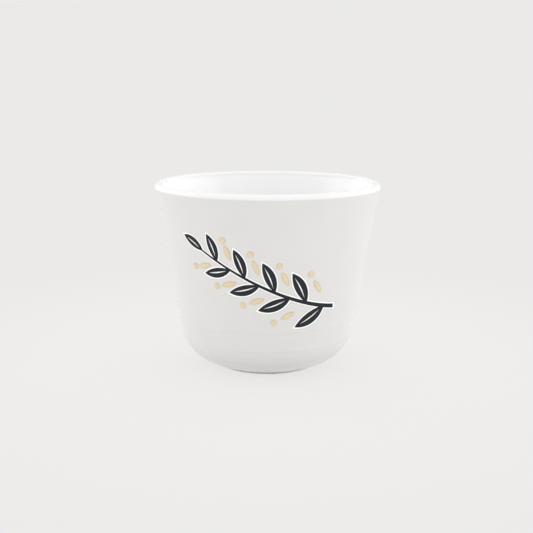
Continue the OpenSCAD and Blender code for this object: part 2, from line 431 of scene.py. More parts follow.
@dataclass(frozen=True)
class ScreenInk:
    """A screen-printed ink film, laid flat and cured.

    It gives the eye an even, slightly satin colour with a darker line where the ink drew up at
    its edge, and the faint unevenness of a squeegee's pull.
    """

    name: str
    colour: str
    edge_colour: str
    pull_colour: str
    roughness: float
    roughness_spread: float = 0.15
    metallic: float = 0.0
    ior: float = 1.5
    edge_mm: float = 0.25
    pull_mm: float = 1.4
    grain_mm: float = 0.25
    grain_depth_mm: float = 0.003
    side_vein_mm: float = 0.0
    side_vein_slant: float = 0.8
    side_vein_gap_share: float = 0.8
    side_vein_contrast: float = 3.0

    def material(self) -> bpy.types.Material:
        """Builds the ink.

        Returns:
            The material.
        """
        made, tree, shader = new_material(self.name)
        spot = add_node(tree, "ShaderNodeTexCoord").outputs["Object"]
        edge = add_node(tree, "ShaderNodeAttribute", attribute_name="from_edge").outputs["Fac"]
        pull = add_node(tree, "ShaderNodeTexNoise", {
            "Vector": spot, "Scale": 1 / (self.pull_mm * MM), "Detail": 4.0,
        })
        inner = add_node(tree, "ShaderNodeMix", {
            "Factor": pull.outputs["Fac"], 6: linear(self.colour), 7: linear(self.pull_colour),
        }, data_type="RGBA").outputs[2]
        if self.side_vein_mm:
            inner = self.with_side_veins(tree, inner)
        share = add_formula(tree, "max(0, 1 - edge / reach)", {"edge": edge, "reach": self.edge_mm * MM})
        tone = add_node(tree, "ShaderNodeMix", {
            "Factor": share, 6: inner, 7: linear(self.edge_colour),
        }, data_type="RGBA")
        tree.links.new(tone.outputs[2], shader.inputs["Base Color"])
        grain = add_node(tree, "ShaderNodeTexNoise", {
            "Vector": spot, "Scale": 1 / (self.grain_mm * MM), "Detail": 1.0,
        })
        rough = add_node(tree, "ShaderNodeMapRange", {
            "Value": grain.outputs["Fac"],
            "To Min": self.roughness * (1 - self.roughness_spread),
            "To Max": self.roughness * (1 + self.roughness_spread),
        })
        tree.links.new(rough.outputs["Result"], shader.inputs["Roughness"])
        bump = add_node(tree, "ShaderNodeBump", {
            "Height": grain.outputs["Fac"], "Distance": self.grain_depth_mm * MM, "Strength": 1.0,
        })
        tree.links.new(bump.outputs["Normal"], shader.inputs["Normal"])
        shader.inputs["Metallic"].default_value = self.metallic
        shader.inputs["IOR"].default_value = self.ior
        return made

    def with_side_veins(self, tree: Tree, inner: Socket) -> Socket:
        """Adds a leaf's faint side veins to its colour.

        Args:
            tree: The material's tree.
            inner: The colour without veins.

        Returns:
            The colour with veins.
        """
        place = add_node(tree, "ShaderNodeAttribute", attribute_name="blade").outputs["Vector"]
        parts = add_node(tree, "ShaderNodeSeparateXYZ", {0: place}).outputs
        names = {
            "along": parts[0], "across": parts[1], "pitch": self.side_vein_mm * MM,
            "slant": self.side_vein_slant, "gap": self.side_vein_gap_share,
            "contrast": self.side_vein_contrast,
        }
        add_formulas(tree, {
            "wave": "abs(fract((along - slant * abs(across)) / pitch) - 0.5) * 2",
            "vein": "max(0, wave - gap) * contrast",
        }, names)
        return add_node(tree, "ShaderNodeMix", {
            "Factor": names["vein"], 6: inner, 7: linear(self.pull_colour),
        }, data_type="RGBA").outputs[2]


def new_material(name: str) -> tuple[bpy.types.Material, Tree, Node]:
    """Starts a node material.

    Args:
        name: The material's name.

    Returns:
        The material, its tree and its Principled shader.
    """
    made = bpy.data.materials.new(name)
    made.use_nodes = True
    return made, made.node_tree, made.node_tree.nodes["Principled BSDF"]


def arc(centre: Vector, radius: float, start: float, end: float, step: float) -> list[Point]:
    """Returns points along an arc in the section, both ends included.

    Args:
        centre: The arc's centre, as radius and height in millimetres.
        radius: The arc's radius in millimetres.
        start: Angle of the first point from the outward direction, in degrees.
        end: Angle of the last point, in degrees.
        step: The longest distance between points in millimetres.

    Returns:
        The points, from start to end.
    """
    turn = math.radians(end - start)
    count = max(ARC_STEPS, math.ceil(abs(turn) * radius / step))
    angles = [math.radians(start) + turn * i / count for i in range(count + 1)]
    return [(centre[0] + radius * math.cos(a), centre[1] + radius * math.sin(a)) for a in angles]


def line(start: Point, end: Point, step: float) -> list[Point]:
    """Returns points along a straight line in the section, both ends included.

    Args:
        start: The first point, as radius and height in millimetres.
        end: The last point.
        step: The longest distance between points in millimetres.

    Returns:
        The points, from start to end.
    """
    count = max(1, math.ceil(math.dist(start, end) / step))
    return [tuple(a + (b - a) * i / count for a, b in zip(start, end)) for i in range(count + 1)]


def out_of_wall(angle: float) -> Vector:
    """Returns the unit vector out of a wall that stands at this angle to the vertical."""
    return Vector((math.cos(math.radians(angle)), -math.sin(math.radians(angle))))


@dataclass
class CupGlass:
    """The cup, turned from its section in Geometry Nodes. Sizes are in millimetres and degrees.

    Two faint rings low on the outside are left by the joints of the mould. The lip takes the bowl's
    painted light, a lighter tone than the outside, over the first degrees of its round, lip_white_angle.
    """

    finish: OpalGlass
    rim_d: float
    height: float
    lip_t: float = 2.5
    wall_draft: float = 9.2
    lip_slope: float = 15.2
    flare_r: float = 73.0
    corner_r: float = 12.1
    bore_draft: float = 10.2
    bore_corner_r: float = 10.5
    floor_t: float = 3.5
    foot_d: float = 31.2
    foot_w: float = 2.4
    foot_h: float = 0.7
    foot_edge_r: float = 0.4
    foot_fillet_r: float = 0.3
    push_up: float = 0.7
    ring_heights: tuple[float, float] = (9.8, 15.5)
    ring_half_w: float = 0.6
    ring_t: float = 0.05
    step: float = 0.8
    bore_corner_step: float = 0.4
    fine_step: float = 0.2
    steps_around: int = 240
    ripple: float = 0.008
    ripple_length: float = 11.0
    ripple_from: float = 6.0
    lip_white_angle: float = 50.0

    def __post_init__(self) -> None:
        """Works out the tangent points and centres of the outer wall."""
        lip_r = self.lip_t / 2
        self.lip_c = Vector((self.rim_d / 2 - lip_r, self.height - lip_r))
        self.flare_c = self.lip_c + (lip_r + self.flare_r) * out_of_wall(self.lip_slope)
        self.flare_end = self.flare_c - self.flare_r * out_of_wall(self.wall_draft)
        self.slope = math.tan(math.radians(self.wall_draft))
        corner_z = self.foot_h + self.corner_r
        wall_z = corner_z - self.corner_r * math.sin(math.radians(self.wall_draft))
        self.wall_end = Vector((self.wall_r(wall_z), wall_z))
        self.corner_c = self.wall_end - self.corner_r * out_of_wall(self.wall_draft)

    def wall_r(self, z: float) -> float:
        """Returns the straight outer wall's radius at height z."""
        return self.flare_end[0] - (self.flare_end[1] - z) * self.slope

    def underside(self) -> list[Point]:
        """Draws the section's underside.

        Returns:
            The points from the axis, under the cup, to the foot's outer edge.
        """
        inside = self.foot_d / 2 - self.foot_w
        dome_r = (inside ** 2 + self.push_up ** 2) / (2 * self.push_up)
        dome_c = Vector((0, self.foot_h + self.push_up - dome_r))
        fillet_x = inside - self.foot_fillet_r
        lift = math.sqrt((dome_r - self.foot_fillet_r) ** 2 - fillet_x ** 2)
        fillet_c = Vector((fillet_x, dome_c[1] + lift))
        lean = math.degrees(math.atan2(lift, fillet_x))
        edge = self.foot_edge_r
        inner_c, outer_c = Vector((inside + edge, edge)), Vector((self.foot_d / 2 - edge, edge))
        return [
            *arc(dome_c, dome_r, 90, lean, self.step),
            *arc(fillet_c, self.foot_fillet_r, lean, 0, self.fine_step),
            *arc(inner_c, edge, 180, 270, self.fine_step),
            *arc(outer_c, edge, 270, 360, self.fine_step),
        ]

    def outside(self) -> list[Point]:
        """Draws the section's outside.

        Returns:
            The points from the foot's hollow, up the wall, over the lip.
        """
        reach = self.corner_r + self.foot_fillet_r
        fillet_x = self.foot_d / 2 + self.foot_fillet_r
        drop = math.sqrt(reach ** 2 - (fillet_x - self.corner_c[0]) ** 2)
        fillet_c = Vector((fillet_x, self.corner_c[1] - drop))
        to_corner = self.corner_c - fillet_c
        lean = math.degrees(math.atan2(to_corner[1], to_corner[0]))
        top_z = max(self.ring_heights) + self.ring_half_w
        ring_top = (self.wall_r(top_z), top_z)
        return [
            *arc(fillet_c, self.foot_fillet_r, 180, lean, self.fine_step),
            *self.ringed([
                *arc(self.corner_c, self.corner_r, lean - 180, -self.wall_draft, self.fine_step),
                *line(tuple(self.wall_end), ring_top, self.fine_step),
            ]),
            *line(ring_top, tuple(self.flare_end), self.step),
            *arc(self.flare_c, self.flare_r, 180 - self.wall_draft, 180 - self.lip_slope, self.step),
            *arc(self.lip_c, self.lip_t / 2, -self.lip_slope, 180 - self.lip_slope, self.fine_step),
        ]

    def ringed(self, points: list[Point]) -> list[Point]:
        """Raises the mould's rings on a stretch of the outside.

        Args:
            points: The stretch without rings.

        Returns:
            The stretch with rings.
        """
        def rise(z: float) -> float:
            """Returns how far the rings stand out at height z."""
            nearest = min(abs(z - ring) for ring in self.ring_heights)
            return self.ring_t * (1 + math.cos(math.pi * min(1, nearest / self.ring_half_w))) / 2

        return [(r + rise(z), z) for r, z in points]

    def inside(self) -> list[Point]:
        """Draws the section's inside.

        Returns:
            The points from the lip, down the bore, to the axis.
        """
        bore_flare_r = self.flare_r + self.lip_t
        flare_end = self.flare_c - bore_flare_r * out_of_wall(self.bore_draft)
        floor_z = self.foot_h + self.floor_t
        corner_z = floor_z + self.bore_corner_r
        end_z = corner_z - self.bore_corner_r * math.sin(math.radians(self.bore_draft))
        end_r = flare_end[0] - (flare_end[1] - end_z) * math.tan(math.radians(self.bore_draft))
        corner_c = Vector((end_r, end_z)) - self.bore_corner_r * out_of_wall(self.bore_draft)
        return [
            *arc(self.flare_c, bore_flare_r, 180 - self.lip_slope, 180 - self.bore_draft, self.step),
            *line(tuple(flare_end), (end_r, end_z), self.step),
            *arc(corner_c, self.bore_corner_r, -self.bore_draft, -90, self.bore_corner_step),
            *line((corner_c[0], floor_z), (0.0, floor_z), self.step),
        ]

    def in_bowl(self, point: Point) -> float:
        """Finds how much of the bowl's painted light a point of the underside, the outside or the lip takes.

        Args:
            point: The point, as radius and height.

        Returns:
            A share, which is 0 but for the lip and rises to 1 over its round.
        """
        if point[1] < self.lip_c[1] + self.lip_t / 2 * out_of_wall(self.lip_slope)[1] + WELD:
            return 0.0
        angle = math.degrees(math.atan2(point[1] - self.lip_c[1], point[0] - self.lip_c[0]))
        share = (angle + self.lip_slope) / self.lip_white_angle
        return min(1.0, max(0.0, share))

    def section(self) -> bpy.types.Mesh:
        """Draws the half section as a chain of vertices in the XZ plane, without doubles.

        Returns:
            The mesh, whose vertices also hold how much they belong to the bowl.
        """
        outer = [*self.underside(), *self.outside()]
        marked = [(point, self.in_bowl(point)) for point in outer]
        marked += [(point, 1.0) for point in self.inside()]
        kept = [marked[0]]
        for point, share in marked[1:]:
            if math.dist(point, kept[-1][0]) * MM > WELD:
                kept.append((point, share))
        mesh = bpy.data.meshes.new("cup_section")
        mesh.from_pydata([(r * MM, 0, z * MM) for (r, z), _ in kept], [], [])
        shares = mesh.attributes.new("in_bowl", "FLOAT", "POINT")
        # The mesh, whose vertices also hold their share of the bowl's painted light.
        shares.data.foreach_set("value", [share for _, share in kept])
        return mesh

    def lathe(self) -> Tree:
        """Builds the tree that turns a section round the Z axis.

        Returns:
            The tree, with inputs for its steps, its ripple and its material.
        """
        tree, given, names = new_geometry_tree(
            "turn_on_lathe", ["Section points", "Steps around"],
            ["Ripple depth", "Ripple length", "Ripple from height"], "Glass",
        )
        grid = add_node(tree, "GeometryNodeMeshGrid", {
            "Size X": 1.0, "Size Y": 1.0, "Vertices X": names["section_points"],
            "Vertices Y": add_formula(tree, "steps_around + 1", names),
        })
        spot = add_node(tree, "GeometryNodeInputPosition").outputs[0]
        names["x"], names["y"], names["z"] = add_node(tree, "ShaderNodeSeparateXYZ", {0: spot}).outputs
        row = add_formula(tree, "round((x + 0.5) * (section_points - 1))", names)
        in_bowl = add_node(tree, "GeometryNodeInputNamedAttribute", {"Name": "in_bowl"}, data_type="FLOAT")
        place, share = (
            add_node(tree, "GeometryNodeSampleIndex", {
                "Geometry": given.outputs["Geometry"], "Value": value, "Index": row,
            }, data_type=kind, domain="POINT").outputs["Value"]
            for value, kind in ((spot, "FLOAT_VECTOR"), (in_bowl.outputs["Attribute"], "FLOAT"))
        )
        marked = add_node(tree, "GeometryNodeStoreNamedAttribute", {
            "Geometry": grid.outputs["Mesh"], "Name": "in_bowl", "Value": share,
        }, data_type="FLOAT", domain="POINT")
        section = add_node(tree, "ShaderNodeSeparateXYZ", {0: place}).outputs
        names |= {"r": section[0], "full_turn": 2 * math.pi}
        turned = add_node(tree, "ShaderNodeCombineXYZ", {
            0: add_formula(tree, "r * cos((y + 0.5) * full_turn)", names),
            1: add_formula(tree, "r * sin((y + 0.5) * full_turn)", names),
            2: section[2],
        })
        shape = add_node(tree, "GeometryNodeSetPosition", {
            "Geometry": marked.outputs[0], "Position": turned.outputs[0],
        })
        closed = add_node(tree, "GeometryNodeMergeByDistance", {
            "Geometry": shape.outputs[0], "Distance": WELD,
        })
        outward = add_node(tree, "GeometryNodeFlipFaces", {"Mesh": closed.outputs[0]})
        names["wave"] = add_node(tree, "ShaderNodeTexNoise", {
            "Scale": add_formula(tree, "1 / ripple_length", names), "Detail": 1.0,
        }).outputs["Fac"]
        depth = "-ripple_depth * min(1, max(0, wave)) * min(1, z / ripple_from_height)"
        sunk = add_node(tree, "ShaderNodeVectorMath", {
            0: add_node(tree, "GeometryNodeInputNormal").outputs[0],
            "Scale": add_formula(tree, depth, names),
        }, operation="SCALE")
        rippled = add_node(tree, "GeometryNodeSetPosition", {
            "Geometry": outward.outputs[0], "Offset": sunk.outputs[0],
        })
        smooth = add_node(tree, "GeometryNodeSetShadeSmooth", {"Geometry": rippled.outputs[0]})
        finish_tree(tree, smooth.outputs[0], given.outputs["Glass"])
        return tree

    def build(self) -> bpy.types.Object:
        """Builds the cup and puts it in the place of its CAD node.

        Returns:
            The piece.
        """
        section = self.section()
        piece = grown("opal_glass_cup", section, self.lathe(), {
            "Section points": len(section.vertices),
            "Steps around": self.steps_around,
            "Ripple depth": self.ripple * MM,
            "Ripple length": self.ripple_length * MM,
            "Ripple from height": self.ripple_from * MM,
            "Glass": self.finish.material(),
        })
        return placed(piece, "cup_glass", "opal_glass")


def finish_tree(tree: Tree, geometry: Socket, material: Socket) -> None:
    """Ends a tree with Realize Instances, Set Material and its Group Output.

    Args:
        tree: The tree.
        geometry: The socket that holds the finished geometry.
        material: The socket that holds its material.
    """
    real = add_node(tree, "GeometryNodeRealizeInstances", {"Geometry": geometry})
    dressed = add_node(tree, "GeometryNodeSetMaterial", {
        "Geometry": real.outputs[0], "Material": material,
    })
    add_node(tree, "NodeGroupOutput", {"Geometry": dressed.outputs[0]})


def placed(piece: bpy.types.Object, node: str, slot: str) -> bpy.types.Object:
    """Puts a piece on the body, in the place of a CAD node and in a material slot.

    Args:
        piece: The finished piece.
        node: The CAD node that it stands for.
        slot: The record's material slot.

    Returns:
        The piece.
    """
    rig.ride(piece, BODY)
    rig.replaces(piece, node)
    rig.slot(piece, slot)
    return piece


@dataclass(frozen=True)
class Mark:
    """One printed shape between two arcs, flat on a tangent plane of the wall.

    Lengths are in millimetres and angles in degrees. A bulge is how far its arc rises over its
    chord, below zero where the arc lies under the chord. A shift moves the shape across its own
    length, so that the two halves of a leaf meet without sharing points.
    """

    azimuth: float
    height: float
    turn: float
    side: float
    chord: float
    low_bulge: float
    low_chord: float
    up_bulge: float
    up_chord: float
    full_low: float
    full_up: float
    shift: float = 0.0

    ANGLES = ("azimuth", "turn")
    PLAIN = ("side",)

    def value(self, name: str) -> float:
        """Turns a field into what the trees take.

        Args:
            name: The field's name.

        Returns:
            The field in metres or radians, or as it is where it has no unit.
        """
        number = getattr(self, name)
        if name in self.ANGLES:
            return math.radians(number)
        return number if name in self.PLAIN else number * MM


MARK_VALUES = [part.name for part in fields(Mark)]


@dataclass
class Sprig:
    """The printed sprig: where its stem, leaves, buds and berries lie on the wall.

    The stem lies in a leaning plane through the front of the wall. Sizes are in millimetres and
    degrees, and shares are of the size that they follow.
    """

    cup: CupGlass
    stem_climb: float = 26.0
    stem_bow: float = 19.0
    stem_from: float = 41.0
    stem_to: float = 37.0
    stem_w: float = 1.2
    stem_tip_w: float = 0.5
    stem_height_share: float = 0.507
    leaf_pairs: int = 4
    leaf_l: float = 10.4
    leaf_full: float = 2.15
    leaf_flat: float = 1.35
    leaf_spread: float = 46.0
    leaf_spread_share: float = 0.85
    leaf_small_share: float = 0.72
    leaf_first_share: float = 0.09
    leaf_last_share: float = 0.87
    tip_leaf_share: float = 0.975
    leaf_crowding: float = 0.84
    vein_w: float = 0.36
    vein_share: float = 0.7
    bud_l: float = 4.4
    bud_side: float = 0.72
    berry_d: float = 1.7
    bud_out_share: float = 0.7
    berry_out_share: float = 1.13
    bud_behind_share: float = 0.03
    border_w: float = 0.35
    border_tip: float = 0.6
    halves_gap: float = 0.006

    def __post_init__(self) -> None:
        """Works out the stem's place at the front of the wall."""
        low, high = self.cup.wall_end[1], self.cup.flare_end[1]
        self.stem_z = low + self.stem_height_share * (high - low)
        self.front_r = self.cup.wall_r(self.stem_z)
        self.bow = math.tan(math.radians(self.stem_bow))
        self.climb = math.tan(math.radians(self.stem_climb))

    def stem_point(self, azimuth: float) -> float:
        """Finds where the stem's plane meets the wall.

        Args:
            azimuth: The direction from the axis, in degrees.

        Returns:
            The height.
        """
        turn = math.radians(azimuth)
        rise = self.front_r * (self.bow * (1 - math.cos(turn)) - self.climb * math.sin(turn))
        give = self.climb * math.sin(turn) + self.bow * math.cos(turn)
        return self.stem_z + rise / (1 + self.cup.slope * give)

    def stem_heading(self, azimuth: float) -> float:
        """Returns the direction in which the stem runs at an azimuth, in degrees."""
        turn = math.radians(azimuth)
        return 180 + math.degrees(math.atan(self.bow * math.sin(turn) - self.climb * math.cos(turn)))

    def stem_azimuth(self, share: float) -> float:
        """Returns the azimuth at a share of the way from the cut end to the tip."""
        return self.stem_from - share * (self.stem_from + self.stem_to)

    def leaf_share(self, number: int) -> float:
        """Returns the share of the stem's length at which a leaf leaves it."""
        step = (number / (2 * self.leaf_pairs - 1)) ** self.leaf_crowding
        return self.leaf_first_share + (self.leaf_last_share - self.leaf_first_share) * step

    def leaf_size(self, share: float) -> float:
        """Returns the size of a leaf at a share of the stem, as a share of the largest."""
        return 1 - (1 - self.leaf_small_share) * share

    def leaf_angle(self, share: float) -> float:
        """Returns the angle between leaf and stem at a share of the stem."""
        return self.leaf_spread * (1 - (1 - self.leaf_spread_share) * share)

    def leaves(self) -> list[tuple[float, Side]]:
        """Lists the leaves.

        Returns:
            Each leaf's share of the stem and its side, the tip's last.
        """
        sides = [Side.BELOW, Side.ABOVE] * self.leaf_pairs
        shares = [*map(self.leaf_share, range(len(sides))), self.tip_leaf_share]
        return [*zip(shares, [*sides, Side.TIP])]

    def mark(self, share: float, turn: float, out: float, **shape: float) -> Mark:
        """Returns a mark whose middle lies a distance along turn from a point of the stem.

        Args:
            share: Share of the stem's length where the mark belongs.
            turn: The mark's direction in degrees.
            out: Distance from the stem to the mark's middle.
            **shape: The mark's other fields.

        Returns:
            The mark.
        """
        azimuth = self.stem_azimuth(share)
        height = self.stem_point(azimuth) + out * math.sin(math.radians(turn))
        along = out * math.cos(math.radians(turn))
        azimuth += math.degrees(along / self.cup.wall_r(height))
        return Mark(azimuth=azimuth, height=height, turn=turn, **shape)

    def leaf_marks(self, grow: float, tip: float, open_vein: bool) -> list[Mark]:
        """Returns the leaves, whole or as two halves on either side of an open vein.

        Args:
            grow: How much wider a leaf is on each side.
            tip: How much longer it is at each end.
            open_vein: True where the vein stays open.

        Returns:
            The marks.
        """
        marks = []
        for share, side in self.leaves():
            size = self.leaf_size(share)
            turn = self.stem_heading(self.stem_azimuth(share)) + side.value * self.leaf_angle(share)
            chord = size * self.leaf_l + 2 * tip
            low, up = -(size * self.leaf_full + grow), size * self.leaf_flat + grow
            blade = {
                "share": share, "turn": turn, "out": size * self.leaf_l / 2,
                "side": -1.0 if side is Side.BELOW else 1.0, "chord": chord,
                "low_bulge": low, "low_chord": chord, "full_low": low,
                "up_bulge": up, "up_chord": chord, "full_up": up,
            }
            if not open_vein:
                marks.append(self.mark(**blade))
                continue
            vein_l = size * self.leaf_l * self.vein_share
            bow = -size * self.vein_share * (self.leaf_full - self.leaf_flat) / 2
            vein = {"low": bow - self.vein_w / 2, "up": bow + self.vein_w / 2}
            marks.append(self.mark(**blade | {
                "up_bulge": vein["low"], "up_chord": vein_l, "shift": -self.halves_gap / 2,
            }))
            marks.append(self.mark(**blade | {
                "low_bulge": vein["up"], "low_chord": vein_l, "shift": self.halves_gap / 2,
            }))
        return marks

    def gold_marks(self) -> list[Mark]:
        """Lists the buds and berries, which stand opposite the leaves.

        Returns:
            Their marks.
        """
        marks = []
        for leaf, side in self.leaves()[:-1]:
            share = leaf - self.bud_behind_share
            turn = self.stem_heading(self.stem_azimuth(share)) - side.value * self.leaf_angle(share)
            size = self.leaf_l * self.leaf_size(share)
            for out, bulge, chord in (
                (self.bud_out_share, self.bud_side, self.bud_l),
                (self.berry_out_share, self.berry_d / 2, self.berry_d),
            ):
                marks.append(self.mark(
                    share, turn, out * size, side=1.0, chord=chord,
                    low_bulge=-bulge, low_chord=chord, full_low=-bulge,
                    up_bulge=bulge, up_chord=chord, full_up=bulge,
                ))
        return marks

    def stem_sizes(self, grow: float) -> dict[str, float]:
        """Returns the stem's ends, widths and plane for the tree that lays it.

        Args:
            grow: How much wider and longer the stem is on each side.

        Returns:
            Values in metres and plain ratios, by the names of the tree's inputs.
        """
        ends = {}
        for name, azimuth in (("Stem right end", self.stem_from), ("Stem left end", -self.stem_to)):
            radius = self.cup.wall_r(self.stem_point(azimuth))
            ends[name] = radius * math.sin(math.radians(azimuth)) + math.copysign(grow, azimuth)
        lengths = ends | {
            "Stem width at right": self.stem_w + 2 * grow,
            "Stem width at left": self.stem_tip_w + 2 * grow,
            "Stem height": self.stem_z,
            "Stem front radius": self.front_r,
        }
        ratios = {"Stem climb": self.climb, "Stem bow": self.bow}
        return {name: length * MM for name, length in lengths.items()} | ratios


@dataclass
class PrintedFilm:
    """One thin film of the sprig, laid on the wall by Geometry Nodes. Sizes are in millimetres.

    The stem's top stands a hair over the leaves', so that the two never share a face where they
    cross.
    """

    sprig: Sprig
    film: Film
    finish: ScreenInk
    slot: str
    marks: list[Mark]
    base: float
    thickness: float
    stem_grow: float | None = None
    steps_along: int = 36
    steps_across: int = 6
    stem_steps: int = 90
    stem_lanes: int = 6
    stem_rounds: int = 4
    stem_over: float = 0.008

    def mark_points(self) -> bpy.types.Mesh:
        """Makes one vertex for each mark, all at the origin.

        Returns:
            The mesh, with each mark's values on its vertex.
        """
        mesh = bpy.data.meshes.new(f"{self.film.value}_marks")
        mesh.from_pydata([(0, 0, 0)] * len(self.marks), [], [])
        for name in MARK_VALUES:
            values = mesh.attributes.new(name, "FLOAT", "POINT")
            values.data.foreach_set("value", [mark.value(name) for mark in self.marks])
        return mesh

    def unit_slab(self, tree: Tree, along: Socket, across: Socket) -> Socket:
        """Adds a closed slab two long, one wide and one thick, in even steps.

        Args:
            tree: The tree.
            along: Its number of steps along.
            across: Its number of steps across.

        Returns:
            The slab's socket.
        """
        grid = add_node(tree, "GeometryNodeMeshGrid", {
            "Size X": 2.0, "Size Y": 1.0,
            "Vertices X": add_formula(tree, "steps + 1", {"steps": along}),
            "Vertices Y": add_formula(tree, "steps + 1", {"steps": across}),
        }).outputs["Mesh"]
        top = add_node(tree, "GeometryNodeExtrudeMesh", {
            "Mesh": grid, "Offset Scale": 1.0, "Individual": False,
        })
        bottom = add_node(tree, "GeometryNodeFlipFaces", {"Mesh": grid})
        both = add_node(tree, "GeometryNodeJoinGeometry", {0: top.outputs["Mesh"]})
        tree.links.new(bottom.outputs[0], both.inputs[0])
        return add_node(tree, "GeometryNodeMergeByDistance", {"Geometry": both.outputs[0]}).outputs[0]

    def unit_place(self, tree: Tree, values: Values) -> Values:
        """Adds the place on the unit slab to the values that the formulas of a film use.

        Args:
            tree: The tree.
            values: The tree's own inputs.

        Returns:
            Both, by name.
        """
        spot = add_node(tree, "GeometryNodeInputPosition").outputs[0]
        unit = add_node(tree, "ShaderNodeSeparateXYZ", {0: spot}).outputs
        return values | {"xi": unit[0], "eta": unit[1], "level": unit[2], "quarter_turn": math.pi / 2}

    def lay_marks(self, tree: Tree, given: Node, values: Values) -> Socket:
        """Adds the nodes that shape one slab for each mark and lay it on the wall.

        Args:
            tree: The tree.
            given: Its Group Input node.
            values: Its own inputs for formulas.

        Returns:
            The marks' socket.
        """
        copies = add_node(tree, "GeometryNodeInstanceOnPoints", {
            "Points": given.outputs["Geometry"],
            "Instance": self.unit_slab(tree, values["steps_along"], values["steps_across"]),
        })
        real = add_node(tree, "GeometryNodeRealizeInstances", {"Geometry": copies.outputs[0]})
        names = self.unit_place(tree, values)
        for name in MARK_VALUES:
            attribute = add_node(tree, "GeometryNodeInputNamedAttribute", {"Name": name}, data_type="FLOAT")
            names[name] = attribute.outputs["Attribute"]
        names["x"] = add_formula(tree, "chord / 2 * sin(xi * quarter_turn)", names)
        for edge, bulge, chord in (
            ("low", "low_bulge", "low_chord"), ("up", "up_bulge", "up_chord"),
            ("outer_low", "full_low", "chord"), ("outer_up", "full_up", "chord"),
        ):
            own = names | {"h": names[bulge], "c": names[chord]}
            add_formulas(tree, {
                "r": "(c * c / 4 + h * h) / (2 * abs(h))",
                "edge": "sign(h) * max(0, sqrt(max(0, r * r - x * x)) - r + abs(h))",
            }, own)
            names[edge] = own["edge"]
        add_formulas(tree, {
            "y": "low + (up - low) * (eta + 0.5)",
            "from_edge": "max(0, min(outer_up - y, y - outer_low))",
            "mirrored": "(y + shift) * side",
            "u": "x * cos(turn) - mirrored * sin(turn)",
            "v": "height + x * sin(turn) + mirrored * cos(turn)",
            "r": "wall_radius_at_table + v * wall_slope + base_lift + thickness * level",
            "deep": "sqrt(r * r - u * u)",
            "to_right": "u * cos(azimuth) + deep * sin(azimuth)",
            "to_back": "u * sin(azimuth) - deep * cos(azimuth)",
        }, names)
        laid = self.with_place(tree, real.outputs[0], names, ("to_right", "to_back", "v"))
        mirrored = add_node(tree, "FunctionNodeCompare", {0: names["side"], 1: 0.0}, operation="LESS_THAN")
        return add_node(tree, "GeometryNodeFlipFaces", {
            "Mesh": laid, "Selection": mirrored.outputs[0],
        }).outputs[0]

    def lay_stem(self, tree: Tree, values: Values) -> Socket:
        """Adds the nodes that lay the stem on the wall, where its leaning plane meets it.

        Args:
            tree: The tree.
            values: Its own inputs for formulas.

        Returns:
            The stem's socket.
        """
        slab = self.unit_slab(tree, values["stem_steps"], values["stem_lanes"])
        names = self.unit_place(tree, values)
        add_formulas(tree, {
            "share": "(xi + 1) / 2",
            "x": "stem_left_end + (stem_right_end - stem_left_end) * share",
            "width": "stem_width_at_left + (stem_width_at_right - stem_width_at_left) * share",
            "y": "width * eta",
            "from_edge": "max(0, min(width / 2 - abs(y), min(x - stem_left_end, stem_right_end - x)))",
            "lift": "base_lift + (thickness + stem_over_leaves) * level",
            "flat_z": "stem_height - stem_climb * x + y * sqrt(1 + stem_bow * stem_bow)",
        }, names)
        names["z"] = names["flat_z"]
        for _ in range(self.stem_rounds):
            add_formulas(tree, {
                "r": "wall_radius_at_table + z * wall_slope + lift",
                "deep": "sqrt(r * r - x * x)",
                "z": "flat_z + stem_bow * (stem_front_radius - deep)",
            }, names)
        names["to_back"] = add_formula(tree, "-deep", names)
        return self.with_place(tree, slab, names, ("x", "to_back", "z"))

    def with_place(self, tree: Tree, geometry: Socket, names: Values, place: tuple[str, ...]) -> Socket:
        """Adds the nodes that store where each point lies on its mark, and then move it.

        Args:
            tree: The tree.
            geometry: The socket that holds the unit slabs.
            names: The formulas' values, with x, y and from_edge.
            place: The names of the point's place on the wall, to the right, to the back and up.

        Returns:
            The moved geometry's socket.
        """
        blade, spot = (
            add_node(tree, "ShaderNodeCombineXYZ", dict(enumerate(map(names.get, parts)))).outputs[0]
            for parts in (("x", "y"), place)
        )
        for label, value, kind in (
            ("from_edge", names["from_edge"], "FLOAT"), ("blade", blade, "FLOAT_VECTOR"),
        ):
            geometry = add_node(tree, "GeometryNodeStoreNamedAttribute", {
                "Geometry": geometry, "Name": label, "Value": value,
            }, data_type=kind, domain="POINT").outputs[0]
        return add_node(tree, "GeometryNodeSetPosition", {
            "Geometry": geometry, "Position": spot,
        }).outputs[0]

    def tree(self) -> Tree:
        """Builds the tree that lays the film's marks, and its stem where it has one.

        Returns:
            The tree, with inputs for steps, film, wall, stem and material.
        """
        counts = ["Steps along", "Steps across"]
        numbers = ["Base lift", "Thickness", "Wall radius at table", "Wall slope"]
        if self.stem_grow is not None:
            counts += ["Stem steps", "Stem lanes"]
            numbers += [*self.sprig.stem_sizes(0), "Stem over leaves"]
        tree, given, values = new_geometry_tree(f"lay_{self.film.value}", counts, numbers, "Ink")
        all_parts = add_node(tree, "GeometryNodeJoinGeometry", {0: self.lay_marks(tree, given, values)})
        if self.stem_grow is not None:
            tree.links.new(self.lay_stem(tree, values), all_parts.inputs[0])
        closed = add_node(tree, "GeometryNodeMergeByDistance", {
            "Geometry": all_parts.outputs[0], "Distance": WELD,
        }, mode="CONNECTED")
        finish_tree(tree, closed.outputs[0], given.outputs["Ink"])
        return tree

